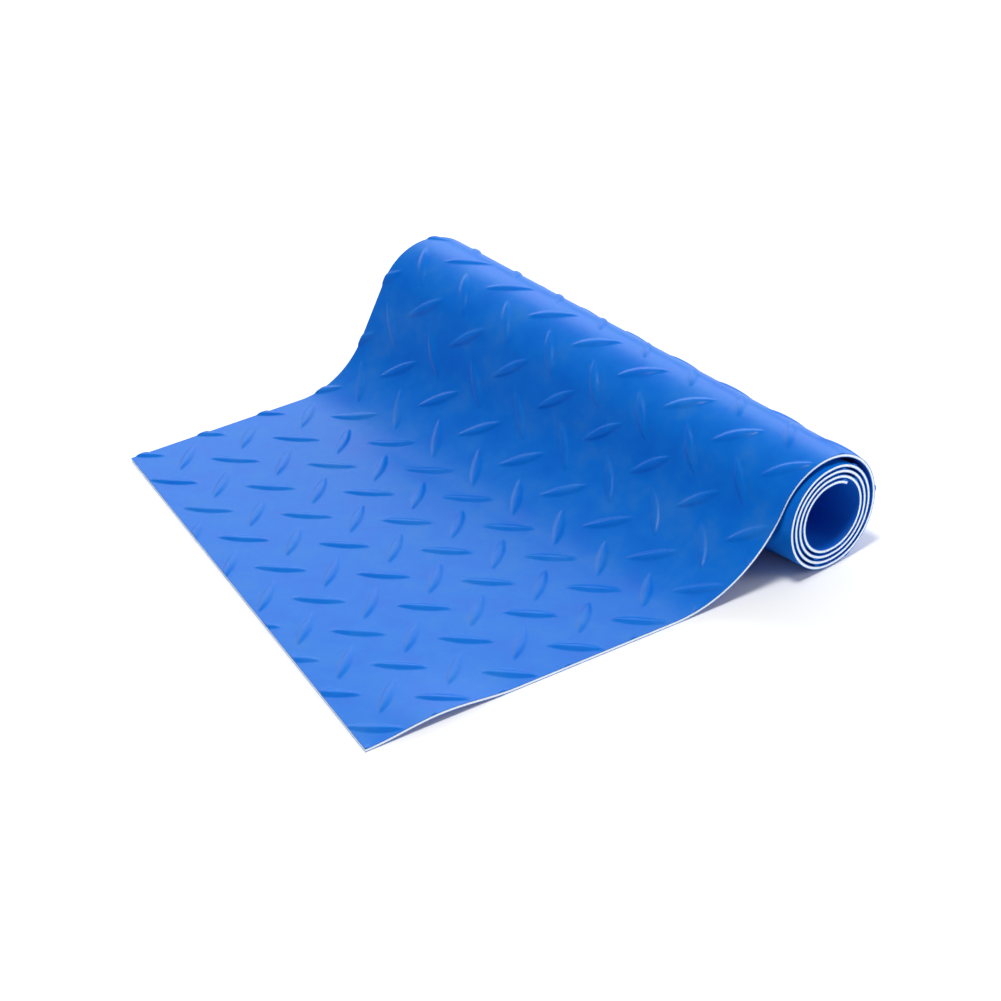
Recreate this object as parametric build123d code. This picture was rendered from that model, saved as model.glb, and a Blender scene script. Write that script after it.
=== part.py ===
from build123d import *
import math
import os

# A laminated vinyl tread mat: the free end lies flat on the floor, and the rest rises, passes over
# the top and winds down into a roll with an open core.
#
# The sheet is drawn flat first and then folded. In the flat drawing X runs along the mat towards the
# roll, Y across it from the near long edge to the far one, and Z is out of the tread face, with
# Z = 0 halfway through the sheet. Each fold is a straight line from the near edge to the far edge,
# so opening every fold lays the sheet flat again without stretching it.
#
# The row frame stands on the floor (Z = 0) with Y along the roll. Its origin is under the middle of
# the flat part. The smooth roll stands 0.5 mm clear of the floor, because the real one rests on the
# tread's raised bars. All sizes are in millimetres and degrees.

# the sheet
MAT_WIDTH = 228.6
TREAD_SKIN = 0.25
FOAM_CORE = 0.8
BACKING_SKIN = 0.25
THICKNESS = TREAD_SKIN + FOAM_CORE + BACKING_SKIN

# the slanted cut of the free end, along the near and far long edges
FREE_END_NEAR = -64.0
FREE_END_FAR = -32.0

# the upward curve out of the flat part: where it starts and how long it is at each long edge
RISE_START_NEAR = 65.0
RISE_START_FAR = 45.5
RISE_LENGTH_NEAR = 60.0
RISE_LENGTH_FAR = 38.5
RISE_TURN = 64.0
RISE_FOLDS = 4

# the straight climb between the upward curve and the top
CLIMB_NEAR = 1.0
CLIMB_FAR = 26.003

# over the top, back to level
TOP_RADIUS_NEAR = 23.0
TOP_RADIUS_FAR = 21.8
TOP_FOLDS = 4

# down the back and under, to the line where the roll rests on the floor
BACK_RADIUS_NEAR = 21.584
BACK_TURN = 179.901
BACK_FOLDS = 10

# the inner turns, sagged a little under their own weight: each half-turn follows a short flat
# stretch at the top or bottom, and its radius is half the pitch smaller than the one before
ROLL_RADIUS = 20.3
ROLL_FLAT = 1.3
ROLL_PITCH = 2.1
HALF_TURNS = 7
LAST_TURN = 36.0

# the roll's axis is turned this far from square to the flat part
ROLL_YAW = 6.681

# half of the clearance between two panels at a fold
FOLD_GAP = 0.3

# each layer's top and bottom, measured from the middle of the sheet
LAYERS = {
    "tread": (THICKNESS / 2, THICKNESS / 2 - TREAD_SKIN),
    "core": (THICKNESS / 2 - TREAD_SKIN, BACKING_SKIN - THICKNESS / 2),
    "backing": (BACKING_SKIN - THICKNESS / 2, -THICKNESS / 2),
}


def fan(start, near_length, far_length, turn, count):
    """Folds spread evenly over a curved stretch, as (near x, far x, angle), and where it ends."""
    near, far = start
    folds = [
        (
            near + near_length * (k + 0.5) / count,
            far + far_length * (k + 0.5) / count,
            turn / count,
        )
        for k in range(count)
    ]
    return folds, (near + near_length, far + far_length)


def all_folds():
    """Every fold from the free end to the roll, and where the roll touches the floor."""
    rise, at = fan(
        (RISE_START_NEAR, RISE_START_FAR), RISE_LENGTH_NEAR, RISE_LENGTH_FAR, RISE_TURN, RISE_FOLDS
    )
    at = (at[0] + CLIMB_NEAR, at[1] + CLIMB_FAR)
    turned = math.radians(RISE_TURN)
    top, at = fan(at, TOP_RADIUS_NEAR * turned, TOP_RADIUS_FAR * turned, -RISE_TURN, TOP_FOLDS)
    near_length = BACK_RADIUS_NEAR * math.radians(BACK_TURN)
    contact = at[0] + near_length
    back, _ = fan(at, near_length, contact - at[1], -BACK_TURN, BACK_FOLDS)
    return rise + top + back, contact


def fold_line(near, far):
    """A fold in the flat drawing: its point on the near edge and its direction to the far edge."""
    start = Vector(near, -MAT_WIDTH / 2, 0)
    return start, (Vector(far, MAT_WIDTH / 2, 0) - start).normalized()


def placements(folds):
    """Where each panel of the flat drawing goes: the free end's first, the roll's last."""
    places = [Location((0, 0, THICKNESS / 2), (0, 0, -ROLL_YAW))]
    for near, far, angle in folds:
        start, direction = fold_line(near, far)
        along = Plane(origin=start, x_dir=direction, z_dir=(0, 0, 1)).location
        turn = along * Location((0, 0, 0), (-angle, 0, 0)) * along.inverse()
        places.append(places[-1] * turn)
    return places


def panel(near_start, far_start, near_end, far_end, layer):
    """One layer of a flat four-cornered panel, in the flat drawing."""
    high, low = LAYERS[layer]
    edge = MAT_WIDTH / 2
    outline = Polyline(
        (near_start, -edge), (near_end, -edge), (far_end, edge), (far_start, edge), close=True
    )
    return Pos(0, 0, low) * extrude(make_face(outline), high - low)


def wound_edges(radius, drop, x):
    """The line of the inner turns at one depth of the sheet, from the floor line inwards."""
    edges = []
    centre = THICKNESS / 2 - radius
    for k in range(HALF_TURNS + 1):
        side = 1 if k % 2 == 0 else -1
        turn = 180 if k < HALF_TURNS else LAST_TURN
        level = centre + side * (radius - drop)
        edges.append(Line((x, level), (x + side * ROLL_FLAT, level)))
        x += side * ROLL_FLAT
        edges.append(CenterArc((x, centre), radius - drop, side * 90, -turn))
        radius -= ROLL_PITCH / 2
        centre -= side * ROLL_PITCH / 2
    return edges


def wound_turns(contact, layer):
    """One layer of the inner turns, in the flat drawing of the roll's panel."""
    high, low = LAYERS[layer]
    outer = wound_edges(ROLL_RADIUS, THICKNESS / 2 - high, contact)
    inner = wound_edges(ROLL_RADIUS, THICKNESS / 2 - low, contact)
    ends = [Line(inner[0] @ 0, outer[0] @ 0), Line(outer[-1] @ 1, inner[-1] @ 1)]
    section = make_face(outer + inner + ends)
    return extrude(Pos(0, MAT_WIDTH / 2, 0) * Rot(90, 0, 0) * section, MAT_WIDTH)


def roll(last_fold, contact, layer):
    """One layer of the roll: the short panel on the floor and the inner turns beyond it."""
    near, far, _ = last_fold
    floor_panel = panel(near + FOLD_GAP, far + FOLD_GAP, contact, contact, layer)
    return floor_panel + wound_turns(contact, layer)


def build():
    """Every node's solid, by name."""
    folds, contact = all_folds()
    places = placements(folds)
    nodes = {}
    for layer in LAYERS:
        free_end = panel(
            FREE_END_NEAR, FREE_END_FAR, folds[0][0] - FOLD_GAP, folds[0][1] - FOLD_GAP, layer
        )
        nodes[f"{layer}_free_end"] = places[0] * free_end
        for k in range(1, len(folds)):
            before, after = folds[k - 1], folds[k]
            strip = panel(
                before[0] + FOLD_GAP,
                before[1] + FOLD_GAP,
                after[0] - FOLD_GAP,
                after[1] - FOLD_GAP,
                layer,
            )
            nodes[f"{layer}_bend_{k:02d}"] = places[k] * strip
        nodes[f"{layer}_roll"] = places[-1] * roll(folds[-1], contact, layer)
    return nodes


os.makedirs("parts", exist_ok=True)
for name, solid in build().items():
    solid.label = name
    export_step(solid, f"parts/{name}.step")
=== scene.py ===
import math

import bpy
import numpy as np
from mathutils import Matrix, Vector


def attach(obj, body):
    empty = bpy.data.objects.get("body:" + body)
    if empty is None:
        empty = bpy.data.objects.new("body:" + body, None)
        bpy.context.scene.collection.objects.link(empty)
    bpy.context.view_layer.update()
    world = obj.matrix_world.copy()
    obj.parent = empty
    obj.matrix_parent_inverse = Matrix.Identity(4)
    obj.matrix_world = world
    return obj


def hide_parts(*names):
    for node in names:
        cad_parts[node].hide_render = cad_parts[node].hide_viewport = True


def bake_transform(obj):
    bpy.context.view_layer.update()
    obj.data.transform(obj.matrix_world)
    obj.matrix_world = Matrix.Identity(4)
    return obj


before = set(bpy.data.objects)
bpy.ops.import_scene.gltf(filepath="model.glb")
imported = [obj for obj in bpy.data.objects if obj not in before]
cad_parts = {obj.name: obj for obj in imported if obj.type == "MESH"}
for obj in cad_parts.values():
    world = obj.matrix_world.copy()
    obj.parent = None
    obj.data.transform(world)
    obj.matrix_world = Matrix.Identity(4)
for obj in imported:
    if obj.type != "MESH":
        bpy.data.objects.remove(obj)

# A laminated vinyl tread mat: flat at its free end, then over and down into a loose open roll.
#
# Every piece is drawn on the flat sheet and then bent, as in the CAD: X along the mat towards the
# roll, Y across it from the near long edge to the far one, and height out of the tread face, with
# zero halfway through the sheet. All sizes are in metres.

# the sheet
MAT_WIDTH = 0.2286
TREAD_SKIN = 0.00025
FOAM_CORE = 0.0008
BACKING_SKIN = 0.00025
THICKNESS = TREAD_SKIN + FOAM_CORE + BACKING_SKIN
EDGE = MAT_WIDTH / 2

# the slanted cut of the free end, along the near and far long edges
FREE_END_NEAR = -0.064
FREE_END_FAR = -0.032

# the upward curve out of the flat part
RISE_START_NEAR = 0.065
RISE_START_FAR = 0.0455
RISE_LENGTH_NEAR = 0.060
RISE_LENGTH_FAR = 0.0385
RISE_TURN = math.radians(64)
RISE_FOLDS = 4

# the straight climb between the upward curve and the top
CLIMB_NEAR = 0.001
CLIMB_FAR = 0.026003

# over the top, then down the back and under, to the line where the roll rests on the floor
TOP_RADIUS_NEAR = 0.023
TOP_RADIUS_FAR = 0.0218
TOP_FOLDS = 4
BACK_RADIUS_NEAR = 0.021584
BACK_TURN = math.radians(179.901)
BACK_FOLDS = 10

# the inner turns, sagged a little under their own weight: each half-turn follows a short flat
# stretch at the top or bottom, and its radius is half the pitch smaller than the one before
ROLL_RADIUS = 0.0203
ROLL_FLAT = 0.0013
ROLL_PITCH = 0.0021
HALF_TURNS = 7
LAST_TURN = math.radians(36)

# the half-turns in the outer of the two lengths that the winding is drawn in
OUTER_HALF_TURNS = 3

# the folds that are joints, counted from the free end; the rest turn with the roll
MOVING_FOLDS = 15

# the roll's axis is turned this far from square to the flat part
ROLL_YAW = math.radians(6.681)

# the tread: lens-shaped bars on a square grid, every other one turned across the rest
TREAD_PITCH = 0.0276
TREAD_SHIFT = 0.16 * TREAD_PITCH
BAR_LENGTH = 0.76 * TREAD_PITCH
BAR_WIDTH = 0.155 * TREAD_PITCH
BAR_HEIGHT = 0.0007

# a low wave lifts the near edge of the free end, close to its corner
WAVE_HEIGHT = 0.0024
WAVE_LENGTH = 0.062
WAVE_REACH = 0.045

# how finely each face is drawn: the tread's bars, the tread inside the roll and the plain faces,
# and the longest step that any face takes along the mat, where it bends
TREAD_STEP = 0.00065
ROLL_STEP = 0.0012
PLAIN_STEP = 0.003
BEND_STEP = 0.0015

# each layer's top and bottom, measured from the middle of the sheet
LAYERS = {
    "tread": (THICKNESS / 2, THICKNESS / 2 - TREAD_SKIN),
    "core": (THICKNESS / 2 - TREAD_SKIN, BACKING_SKIN - THICKNESS / 2),
    "backing": (BACKING_SKIN - THICKNESS / 2, -THICKNESS / 2),
}


# ---- where a point of the flat sheet goes ----


def fan(start, near_length, far_length, turn, count):
    """Folds spread over a curved stretch: the middle and half-length at each edge, and the angle."""
    near_half = near_length / count / 2
    far_half = far_length / count / 2
    folds = [
        {
            "near": start[0] + near_half * (2 * k + 1),
            "far": start[1] + far_half * (2 * k + 1),
            "near_half": near_half,
            "far_half": far_half,
            "angle": turn / count,
        }
        for k in range(count)
    ]
    return folds, (start[0] + near_length, start[1] + far_length)


def all_folds():
    """Every fold from the free end to the roll, and where the roll touches the floor."""
    rise, at = fan(
        (RISE_START_NEAR, RISE_START_FAR), RISE_LENGTH_NEAR, RISE_LENGTH_FAR, RISE_TURN, RISE_FOLDS
    )
    at = (at[0] + CLIMB_NEAR, at[1] + CLIMB_FAR)
    top, at = fan(
        at, TOP_RADIUS_NEAR * RISE_TURN, TOP_RADIUS_FAR * RISE_TURN, -RISE_TURN, TOP_FOLDS
    )
    near_length = BACK_RADIUS_NEAR * BACK_TURN
    contact = at[0] + near_length
    back, _ = fan(at, near_length, contact - at[1], -BACK_TURN, BACK_FOLDS)
    return rise + top + back, contact


def placements(folds):
    """The place of each flat panel between folds: the free end's first, the roll's last."""
    places = [Matrix.Translation((0, 0, THICKNESS / 2)) @ Matrix.Rotation(-ROLL_YAW, 4, "Z")]
    for fold in folds:
        start = Vector((fold["near"], -EDGE, 0))
        along = Vector((fold["far"], EDGE, 0)) - start
        shift = Matrix.Translation(start)
        turn = shift @ Matrix.Rotation(-fold["angle"], 4, along) @ shift.inverted()
        places.append(places[-1] @ turn)
    return [np.array(place) for place in places]


FOLDS, CONTACT = all_folds()
PLACES = placements(FOLDS)


def on_panel(place, x, y, height):
    """Points of the flat drawing carried to a panel's place."""
    x, y, height = np.broadcast_arrays(x, y, height)
    flat = np.stack([x, y, height], axis=-1)
    return flat @ place[:3, :3].T + place[:3, 3]


def panel_shape(k):
    """The shape of a flat panel."""

    def shape(x, y, height):
        return on_panel(PLACES[k], x, y, height)

    return shape


def free_end_shape(x, y, height):
    """The shape of the flat part, with the low wave along its near edge."""
    along = np.clip((x - FREE_END_NEAR) / WAVE_LENGTH, 0, 1)
    inward = np.clip((y + EDGE) / WAVE_REACH, 0, 1)
    lift = WAVE_HEIGHT * np.sin(math.pi * along) ** 2 * (1 - inward) ** 2
    return on_panel(PLACES[0], x, y, height + lift)


def fold_shape(k):
    """The shape of the smooth bend at fold k: a parabola that leaves each panel along its face."""
    fold, before, after = FOLDS[k], PLACES[k], PLACES[k + 1]

    def shape(x, y, height):
        across = (y + EDGE) / MAT_WIDTH
        middle = fold["near"] + (fold["far"] - fold["near"]) * across
        half = fold["near_half"] + (fold["far_half"] - fold["near_half"]) * across
        t = ((x - middle + half) / (2 * half))[..., None]
        first = on_panel(before, middle - half, y, 0)
        hinge = on_panel(before, middle, y, 0)
        last = on_panel(after, middle + half, y, 0)
        normal = (1 - t) * before[:3, 2] + t * after[:3, 2]
        normal = normal / np.linalg.norm(normal, axis=-1, keepdims=True)
        curve = (1 - t) ** 2 * first + 2 * t * (1 - t) * hinge + t**2 * last
        return curve + height[..., None] * normal

    return shape


def wound_arcs():
    """The inner turns' half-turns: radius at mid-sheet, centre height and where each flat begins."""
    arcs = []
    radius, centre, begin = ROLL_RADIUS - THICKNESS / 2, THICKNESS / 2 - ROLL_RADIUS, 0.0
    for k in range(HALF_TURNS + 1):
        arcs.append((radius, centre, begin))
        begin += ROLL_FLAT + radius * math.pi
        radius -= ROLL_PITCH / 2
        centre += ROLL_PITCH / 2 * (-1 if k % 2 == 0 else 1)
    return arcs


ARCS = wound_arcs()
WOUND_LENGTH = ARCS[-1][2] + ROLL_FLAT + ARCS[-1][0] * LAST_TURN
OUTER_LENGTH = ARCS[OUTER_HALF_TURNS][2]


def wound_shape(x, y, height):
    """The shape of the inner turns, past the line where the roll touches the floor."""
    radii, centres, begins = (np.array(values) for values in zip(*ARCS))
    along = np.clip(x - CONTACT, 0, WOUND_LENGTH)
    k = np.clip(np.searchsorted(begins, along, side="right") - 1, 0, HALF_TURNS)
    slid = np.minimum(along - begins[k], ROLL_FLAT)
    turned = (along - begins[k] - slid) / radii[k]
    angle = math.pi / 2 - math.pi * k - turned
    reach = radii[k] + height
    middle = CONTACT + np.where(k % 2 == 0, slid, ROLL_FLAT - slid)
    return on_panel(
        PLACES[-1], middle + reach * np.cos(angle), y, centres[k] + reach * np.sin(angle)
    )


def bar_height(x, y):
    """How far the tread stands above its smooth face at a point of the flat drawing."""
    height = np.zeros(np.broadcast(x, y).shape)
    for shift, turn in ((0.0, -1.0), (0.5, 1.0)):
        across = (x / TREAD_PITCH - shift + 0.5) % 1 - 0.5
        up = ((y - TREAD_SHIFT) / TREAD_PITCH - shift + 0.5) % 1 - 0.5
        along = (across + turn * up) * TREAD_PITCH / math.sqrt(2)
        aside = (up - turn * across) * TREAD_PITCH / math.sqrt(2)
        taper = np.clip(1 - (2 * along / BAR_LENGTH) ** 2, 0, 1)
        edge = 2 * aside / (BAR_WIDTH * np.maximum(taper, 1e-6))
        crown = np.clip(1 - np.abs(edge) ** 3, 0, 1)
        height = np.maximum(height, BAR_HEIGHT * np.sqrt(taper) * crown)
    return height


# ---- meshes ----


def steps(length, step):
    """How many divisions keep each one near a step."""
    return max(2, math.ceil(length / step))


def grid(starts, ends, columns, rows):
    """Points of the flat drawing between two slanted lines, each given as (near x, far x)."""
    across = np.linspace(0, 1, rows + 1)[:, None]
    along = np.linspace(0, 1, columns + 1)[None, :]
    begin = starts[0] + (starts[1] - starts[0]) * across
    finish = ends[0] + (ends[1] - ends[0]) * across
    x = begin + (finish - begin) * along
    y = np.broadcast_to(-EDGE + MAT_WIDTH * across, x.shape)
    return x, y


class Shell:
    """Collects the faces of one layer and keeps the flat drawing's coordinates for its material."""

    def __init__(self, shape):
        self.shape = shape
        self.points = []
        self.flat = []
        self.faces = []
        self.count = 0

    def add(self, x, y, height, flip):
        """One grid of faces. Its outer side is the tread's side, or the other if flip is true."""
        x, y, height = np.broadcast_arrays(x, y, height)
        rows, columns = x.shape
        index = self.count + np.arange(rows * columns).reshape(rows, columns)
        corners = [index[:-1, :-1], index[:-1, 1:], index[1:, 1:], index[1:, :-1]]
        quads = np.stack([corner.ravel() for corner in corners], axis=1)
        self.faces.append(quads[:, ::-1] if flip else quads)
        self.points.append(self.shape(x, y, height).reshape(-1, 3))
        self.flat.append(np.stack([x, y, height], axis=-1).reshape(-1, 3))
        self.count += rows * columns

    def rim(self, x, y, top, bottom, flip):
        """A wall down a cut edge, from the top face to the bottom one."""
        levels = np.stack([top, np.full_like(top, bottom)])
        self.add(np.stack([x, x]), np.stack([y, y]), levels, flip)

    def build(self, name, material):
        """The finished mesh object."""
        points = np.concatenate(self.points).astype(np.float32)
        faces = np.concatenate(self.faces).astype(np.int32)
        mesh = bpy.data.meshes.new(name)
        mesh.vertices.add(len(points))
        mesh.vertices.foreach_set("co", points.ravel())
        mesh.loops.add(faces.size)
        mesh.loops.foreach_set("vertex_index", faces.ravel())
        mesh.polygons.add(len(faces))
        mesh.polygons.foreach_set("loop_start", np.arange(0, faces.size, 4, dtype=np.int32))
        mesh.polygons.foreach_set("use_smooth", np.ones(len(faces), bool))
        mesh.update(calc_edges=True)
        flat = mesh.attributes.new("flat_drawing", "FLOAT_VECTOR", "POINT")
        flat.data.foreach_set("vector", np.concatenate(self.flat).astype(np.float32).ravel())
        mesh.materials.append(material)
        piece = bpy.data.objects.new(name, mesh)
        bpy.context.scene.collection.objects.link(piece)
        return piece


def layer_piece(name, layer, shape, starts, ends, step, cut_ends=()):
    """One layer of one stretch of the mat, with walls at its long edges and at any cut end."""
    top, bottom = LAYERS[layer]
    fine = step if layer == "tread" else PLAIN_STEP
    length = max(ends[0] - starts[0], ends[1] - starts[1])
    columns, rows = steps(length, min(fine, BEND_STEP)), steps(MAT_WIDTH, fine)
    x, y = grid(starts, ends, columns, rows)
    raised = bar_height(x, y) if layer == "tread" else np.zeros(x.shape)
    shell = Shell(shape)
    shell.add(x, y, top + raised, False)
    shell.rim(x[0], y[0], top + raised[0], bottom, True)
    shell.rim(x[-1], y[-1], top + raised[-1], bottom, False)
    if "start" in cut_ends:
        shell.rim(x[:, 0], y[:, 0], top + raised[:, 0], bottom, False)
    if "end" in cut_ends:
        shell.rim(x[:, -1], y[:, -1], top + raised[:, -1], bottom, True)
    plain_x, plain_y = grid(starts, ends, columns, steps(MAT_WIDTH, PLAIN_STEP))
    shell.add(plain_x, plain_y, np.full(plain_x.shape, bottom), True)
    piece = shell.build(name, MATERIALS[layer])
    return piece


# ---- materials ----


def new_material(name):
    """An empty node material, its node tree and its shader."""
    material = bpy.data.materials.new(name)
    material.use_nodes = True
    tree = material.node_tree
    return material, tree, tree.nodes["Principled BSDF"]


def flat_noise(tree, scale, detail, roughness):
    """A noise that stays put on the sheet when it bends."""
    place = tree.nodes.new("ShaderNodeAttribute")
    place.attribute_name = "flat_drawing"
    noise = tree.nodes.new("ShaderNodeTexNoise")
    noise.inputs["Scale"].default_value = scale
    noise.inputs["Detail"].default_value = detail
    noise.inputs["Roughness"].default_value = roughness
    tree.links.new(place.outputs["Vector"], noise.inputs["Vector"])
    return noise


def ramp(tree, source, stops):
    """A colour ramp fed by a node's value."""
    node = tree.nodes.new("ShaderNodeValToRGB")
    elements = node.color_ramp.elements
    for element, (position, colour) in zip(elements, (stops[0], stops[-1])):
        element.position = position
        element.color = (*colour, 1)
    for position, colour in stops[1:-1]:
        elements.new(position).color = (*colour, 1)
    tree.links.new(source, node.inputs["Fac"])
    return node


def map_value(tree, source, low, high):
    """A value between 0 and 1 spread over another range."""
    node = tree.nodes.new("ShaderNodeMapRange")
    node.inputs["To Min"].default_value = low
    node.inputs["To Max"].default_value = high
    tree.links.new(source, node.inputs["Value"])
    return node


def grain(tree, shader, source, depth, strength):
    """A fine bump on a shader's surface."""
    bump = tree.nodes.new("ShaderNodeBump")
    bump.inputs["Strength"].default_value = strength
    bump.inputs["Distance"].default_value = depth
    tree.links.new(source, bump.inputs["Height"])
    tree.links.new(bump.outputs["Normal"], shader.inputs["Normal"])


def tread_material():
    """Embossed blue vinyl: soft gloss, with slow changes of shade and a fine leather-like grain."""
    material, tree, shader = new_material("tread_vinyl")
    clouds = flat_noise(tree, 55, 4, 0.6)
    shade = ramp(tree, clouds.outputs["Fac"], [
        (0.3, (0.000, 0.128, 0.60)),
        (0.5, (0.001, 0.148, 0.62)),
        (0.7, (0.014, 0.166, 0.60)),
    ])
    tree.links.new(shade.outputs["Color"], shader.inputs["Base Color"])
    fine = flat_noise(tree, 2600, 2, 0.6)
    rough = map_value(tree, clouds.outputs["Fac"], 0.30, 0.56)
    tree.links.new(rough.outputs["Result"], shader.inputs["Roughness"])
    shader.inputs["Specular IOR Level"].default_value = 0.05
    shader.inputs["Coat Weight"].default_value = 0.12
    shader.inputs["Coat Roughness"].default_value = 0.24
    grain(tree, shader, fine.outputs["Fac"], 0.00006, 0.35)
    return material


def core_material():
    """Pale foamed vinyl, seen only along the cut edges: matt and full of tiny cells."""
    material, tree, shader = new_material("foam_core")
    cells = flat_noise(tree, 3000, 2, 0.7)
    shade = ramp(tree, cells.outputs["Fac"], [
        (0.3, (0.80, 0.92, 0.97)),
        (0.7, (0.95, 0.99, 1.00)),
    ])
    tree.links.new(shade.outputs["Color"], shader.inputs["Base Color"])
    shader.inputs["Roughness"].default_value = 0.8
    grain(tree, shader, cells.outputs["Fac"], 0.0001, 0.5)
    return material


def backing_material():
    """The smooth blue underside, with a faint woven print from the calender rolls."""
    material, tree, shader = new_material("backing_vinyl")
    clouds = flat_noise(tree, 18, 3, 0.5)
    shade = ramp(tree, clouds.outputs["Fac"], [
        (0.3, (0.000, 0.120, 0.60)),
        (0.7, (0.002, 0.150, 0.70)),
    ])
    tree.links.new(shade.outputs["Color"], shader.inputs["Base Color"])
    rough = map_value(tree, clouds.outputs["Fac"], 0.4, 0.52)
    tree.links.new(rough.outputs["Result"], shader.inputs["Roughness"])
    fine = flat_noise(tree, 1800, 2, 0.5)
    grain(tree, shader, fine.outputs["Fac"], 0.00006, 0.4)
    return material


def floor_material():
    """A plain pale studio floor."""
    material, tree, shader = new_material("studio_floor")
    mottle = tree.nodes.new("ShaderNodeTexNoise")
    mottle.inputs["Scale"].default_value = 3
    shade = ramp(tree, mottle.outputs["Fac"], [
        (0.3, (0.93, 0.935, 0.94)),
        (0.7, (0.96, 0.965, 0.97)),
    ])
    tree.links.new(shade.outputs["Color"], shader.inputs["Base Color"])
    shader.inputs["Roughness"].default_value = 0.9
    shader.inputs["Specular IOR Level"].default_value = 0.1
    return material


MATERIALS = {
    "tread": tread_material(),
    "core": core_material(),
    "backing": backing_material(),
}


# ---- the mat ----


def body_name(k):
    """The CAD body that carries panel k, counted from the free end."""
    if k == 0:
        return "free_end"
    return f"bend_{k:02d}" if k < MOVING_FOLDS else "roll"


def free_end(layer):
    """The flat part on the floor."""
    piece = layer_piece(
        f"{layer}_flat",
        layer,
        free_end_shape,
        (FREE_END_NEAR, FREE_END_FAR),
        (RISE_START_NEAR, RISE_START_FAR),
        TREAD_STEP,
        cut_ends=("start",),
    )
    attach(piece, "free_end")
    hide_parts(f"{layer}_free_end")
    return piece


def bend_across(piece, k):
    """Works out where fold k meets the panels on its two sides, which nothing uses, and bakes the
    piece's place into its mesh.
    """
    fold = FOLDS[k]
    along = Vector((fold["far"] - fold["near"], MAT_WIDTH, 0)).normalized()
    reach = Vector((along.y, -along.x, 0)) * min(fold["near_half"], fold["far_half"])
    hinge = Vector(((fold["near"] + fold["far"]) / 2, 0, 0))
    first = on_panel(PLACES[k], *(hinge - reach))
    last = on_panel(PLACES[k + 1], *(hinge + reach))
    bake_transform(piece)


def bend(layer, k):
    """The smooth bend at fold k, fixed to the roll past the moving folds and otherwise baked in
    place.
    """
    fold = FOLDS[k]
    starts = (fold["near"] - fold["near_half"], fold["far"] - fold["far_half"])
    ends = (fold["near"] + fold["near_half"], fold["far"] + fold["far_half"])
    piece = layer_piece(f"{layer}_turn_{k + 1:02d}", layer, fold_shape(k), starts, ends, TREAD_STEP)
    if k >= MOVING_FOLDS:
        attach(piece, "roll")
    else:
        bend_across(piece, k)
    if k + 1 < len(FOLDS):
        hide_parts(f"{layer}_bend_{k + 1:02d}")
    return piece


def climb(layer):
    """The straight stretch between the upward curve and the top."""
    last, first = FOLDS[RISE_FOLDS - 1], FOLDS[RISE_FOLDS]
    piece = layer_piece(
        f"{layer}_climb",
        layer,
        panel_shape(RISE_FOLDS),
        (last["near"] + last["near_half"], last["far"] + last["far_half"]),
        (first["near"] - first["near_half"], first["far"] - first["far_half"]),
        TREAD_STEP,
    )
    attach(piece, body_name(RISE_FOLDS))
    return piece


def wound(layer):
    """The inner turns of the roll, in two lengths so that neither is too heavy to export."""
    middle, end = CONTACT + OUTER_LENGTH, CONTACT + WOUND_LENGTH
    outer = layer_piece(
        f"{layer}_outer_turns", layer, wound_shape, (CONTACT, CONTACT), (middle, middle), ROLL_STEP
    )
    inner = layer_piece(
        f"{layer}_inner_turns", layer, wound_shape, (middle, middle), (end, end), ROLL_STEP,
        cut_ends=("end",),
    )
    for piece in (outer, inner):
        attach(piece, "roll")
    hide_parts(f"{layer}_roll")
    return [outer, inner]


def mat():
    """Every layer of the mat."""
    flats, strips, turns = {}, [], {}
    for layer in LAYERS:
        flats[layer] = free_end(layer)
        strips += [bend(layer, k) for k in range(len(FOLDS))]
        strips.append(climb(layer))
        turns[layer] = wound(layer)
    return flats, strips, turns


# ---- studio ----

# the camera stands where the photograph's own tread grid puts it
CAMERA_AIM = Vector((0.0767, 0.0046, -0.0110))
CAMERA_DISTANCE = 1.1626
CAMERA_AZIMUTH = math.radians(-39.02)
CAMERA_ELEVATION = math.radians(29.976)
CAMERA_ROLL = math.radians(-3.025)
CAMERA_LENS = 107.4
CAMERA_SENSOR = 36
CAMERA_CLIP = (0.05, 20)

# the floor lies just under the mat, so that the two faces don't share a plane
FLOOR_HALF_SIDE = 6.0
FLOOR_DROP = 0.00005

# each light's place, width, height and power; all three point at the middle of the mat
LIGHT_TARGET = (0.05, 0, 0)
LIGHTS = {
    "back": ((0.90, 0.85, 0.62), 3.2, 0.7, 26),
    "top": ((-0.20, -0.20, 1.60), 0.35, 0.35, 17),
    "side": ((0.85, -1.15, 0.45), 0.6, 0.6, 6),
}
WORLD_STRENGTH = 0.24


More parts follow.
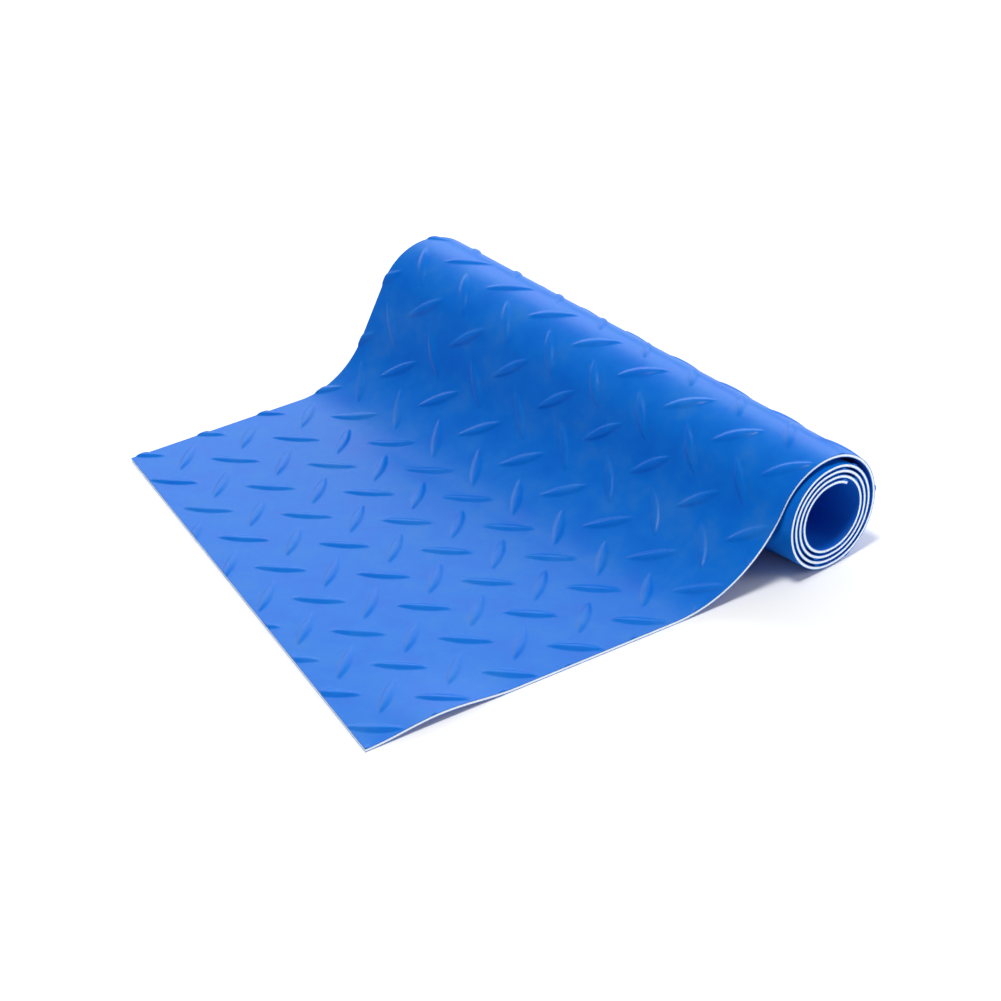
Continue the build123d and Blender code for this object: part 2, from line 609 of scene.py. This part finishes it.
def camera():
    """The camera at the photograph's viewing angle."""
    data = bpy.data.cameras.new("camera")
    data.lens = CAMERA_LENS
    data.sensor_width = CAMERA_SENSOR
    data.clip_start, data.clip_end = CAMERA_CLIP
    seen = bpy.data.objects.new("camera", data)
    level = math.cos(CAMERA_ELEVATION)
    back = Vector((
        math.sin(CAMERA_AZIMUTH) * level,
        -math.cos(CAMERA_AZIMUTH) * level,
        math.sin(CAMERA_ELEVATION),
    ))
    right = Vector((math.cos(CAMERA_AZIMUTH), math.sin(CAMERA_AZIMUTH), 0))
    up = back.cross(right)
    tilt = Matrix.Rotation(CAMERA_ROLL, 3, back)
    axes = Matrix((tilt @ right, tilt @ up, back)).transposed()
    seen.matrix_world = Matrix.Translation(CAMERA_AIM + CAMERA_DISTANCE * back) @ axes.to_4x4()
    bpy.context.scene.collection.objects.link(seen)
    bpy.context.scene.camera = seen


def floor():
    """A plain pale floor under the mat."""
    mesh = bpy.data.meshes.new("floor")
    side = FLOOR_HALF_SIDE
    mesh.from_pydata(
        [(-side, -side, 0), (side, -side, 0), (side, side, 0), (-side, side, 0)], [], [(0, 1, 2, 3)]
    )
    mesh.materials.append(floor_material())
    ground = bpy.data.objects.new("floor", mesh)
    ground.location.z = -FLOOR_DROP
    bpy.context.scene.collection.objects.link(ground)


def area_light(name, place, width, height, power):
    """A soft rectangular light that points at the mat."""
    data = bpy.data.lights.new(name, "AREA")
    data.shape = "RECTANGLE"
    data.size = width
    data.size_y = height
    data.energy = power
    lamp = bpy.data.objects.new(name, data)
    lamp.location = place
    aim = Vector(LIGHT_TARGET) - Vector(place)
    lamp.rotation_euler = aim.to_track_quat("-Z", "Y").to_euler()
    bpy.context.scene.collection.objects.link(lamp)


def lights():
    """Soft light from behind, above and beside the near end, with a white surround."""
    world = bpy.data.worlds.new("studio")
    world.use_nodes = True
    background = world.node_tree.nodes["Background"]
    background.inputs["Color"].default_value = (1, 1, 1, 1)
    background.inputs["Strength"].default_value = WORLD_STRENGTH
    bpy.context.scene.world = world
    for name, (place, width, height, power) in LIGHTS.items():
        area_light(name, place, width, height, power)
    bpy.context.scene.view_settings.view_transform = "Standard"


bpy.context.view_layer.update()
flats, strips, turns = mat()
camera()
floor()
lights()
